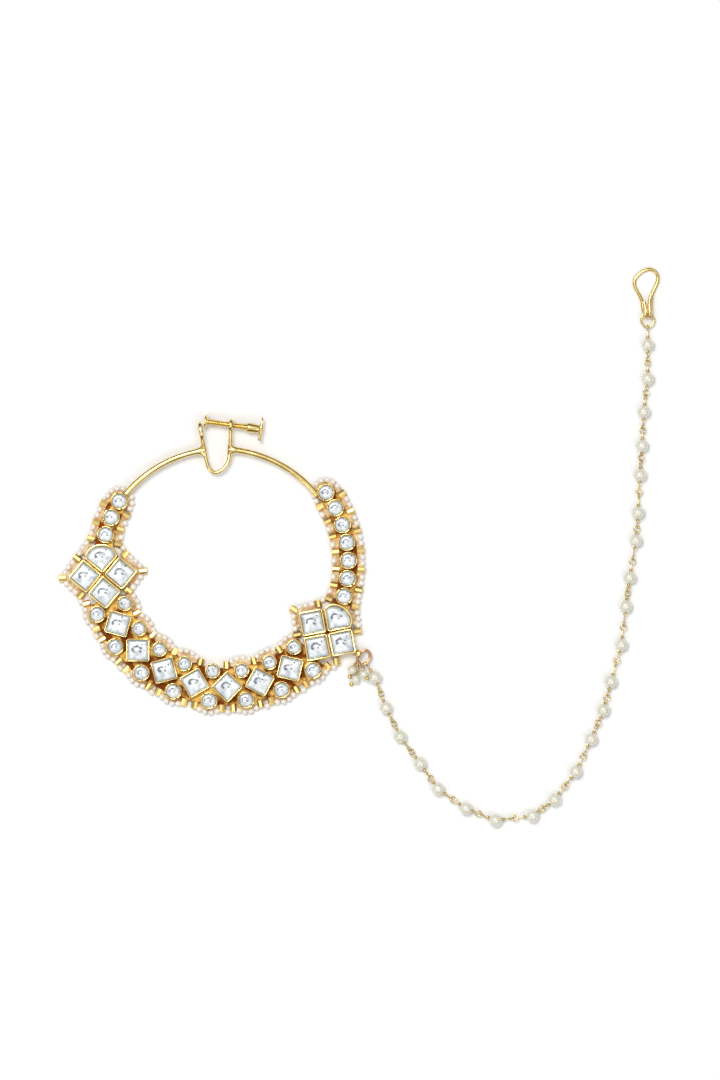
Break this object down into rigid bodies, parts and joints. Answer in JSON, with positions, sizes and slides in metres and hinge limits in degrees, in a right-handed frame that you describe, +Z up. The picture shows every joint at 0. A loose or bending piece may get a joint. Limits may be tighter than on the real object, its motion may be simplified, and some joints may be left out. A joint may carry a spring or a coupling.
{
  "type": "nose ring",
  "caption": "Nath nose ring: hoop with a band of foil-backed stones edged in seed pearls, a screw clip, small pearl drops and a pearl chain ending in a hair hook.",
  "frame": {"origin": "middle of the footprint, at the level the ring lies on", "axes": "+Z up, out of the stones' faces; +Y from the stone band towards the clip; +X towards the hair hook's side"},
  "size_m": [0.1554, 0.1444, 0.0044],
  "materials": {
    "gold": "polished gold plate",
    "clip_gold": "polished gold plate",
    "hook_wire": "polished gold wire",
    "rose_wire": "polished rose gold wire",
    "kundan_stone": "polished glass over silver foil",
    "pearl_edging": "pearl lustre",
    "drop_pearl": "pearl lustre",
    "chain_pearl": "pearl lustre"
  },
  "bodies": {
    "ring": {"chain_section_1": "chain_pearl", "chain_section_2": "chain_pearl", "chain_section_3": "chain_pearl", "chain_section_4": "chain_pearl", "chain_section_5": "chain_pearl", "drop_left": "drop_pearl", "drop_middle": "drop_pearl", "drop_right": "drop_pearl", "edging_left_inner": "pearl_edging", "edging_left_outer": "pearl_edging", "edging_right_inner": "pearl_edging", "edging_right_outer": "pearl_edging", "edging_right_tail": "pearl_edging", "gold_frame": "gold", "hair_hook": "hook_wire", "hook_ring": "hook_wire", "jump_ring": "rose_wire", "stone_inner_round_1": "kundan_stone", "stone_inner_round_2": "kundan_stone", "stone_inner_round_3": "kundan_stone", "stone_inner_round_4": "kundan_stone", "stone_inner_round_5": "kundan_stone", "stone_inner_round_6": "kundan_stone", "stone_inner_round_7": "kundan_stone", "stone_inner_round_8": "kundan_stone", "stone_left_cluster_arch": "kundan_stone", "stone_left_cluster_inner": "kundan_stone", "stone_left_cluster_outer": "kundan_stone", "stone_left_cluster_row": "kundan_stone", "stone_left_tail_1": "kundan_stone", "stone_left_tail_2": "kundan_stone", "stone_left_tail_3": "kundan_stone", "stone_outer_round_1": "kundan_stone", "stone_outer_round_2": "kundan_stone", "stone_outer_round_3": "kundan_stone", "stone_outer_round_4": "kundan_stone", "stone_outer_round_5": "kundan_stone", "stone_outer_round_6": "kundan_stone", "stone_outer_round_7": "kundan_stone", "stone_outer_round_8": "kundan_stone", "stone_right_cluster_arch": "kundan_stone", "stone_right_cluster_inner": "kundan_stone", "stone_right_cluster_outer": "kundan_stone", "stone_right_cluster_row": "kundan_stone", "stone_right_tail_1": "kundan_stone", "stone_right_tail_2": "kundan_stone", "stone_right_tail_3": "kundan_stone", "stone_right_tail_4": "kundan_stone", "stone_right_tail_5": "kundan_stone", "stone_right_tail_6": "kundan_stone", "stone_right_tail_7": "kundan_stone", "stone_row_square_1": "kundan_stone", "stone_row_square_2": "kundan_stone", "stone_row_square_3": "kundan_stone", "stone_row_square_4": "kundan_stone", "stone_row_square_5": "kundan_stone", "stone_row_square_6": "kundan_stone", "stone_row_square_7": "kundan_stone"},
    "pad": {"clip_pad": "clip_gold"},
    "screw": {"clip_screw": "clip_gold"}
  },
  "joints": [
    {"name": "screw_advance", "type": "slide", "parent": "ring", "child": "pad", "axis": [0.9898, -0.1426, 0], "range_m": [0, 0.005]},
    {"name": "screw_turn", "type": "hinge", "parent": "pad", "child": "screw", "pos_m": [-0.03953, 0.03256, 0.0026], "axis": [0.9898, -0.1426, 0], "range_deg": [0, 3600]}
  ],
  "couplings": [
    {"joint": "screw_turn", "follows": "screw_advance", "rad_per_m": 12566}
  ]
}
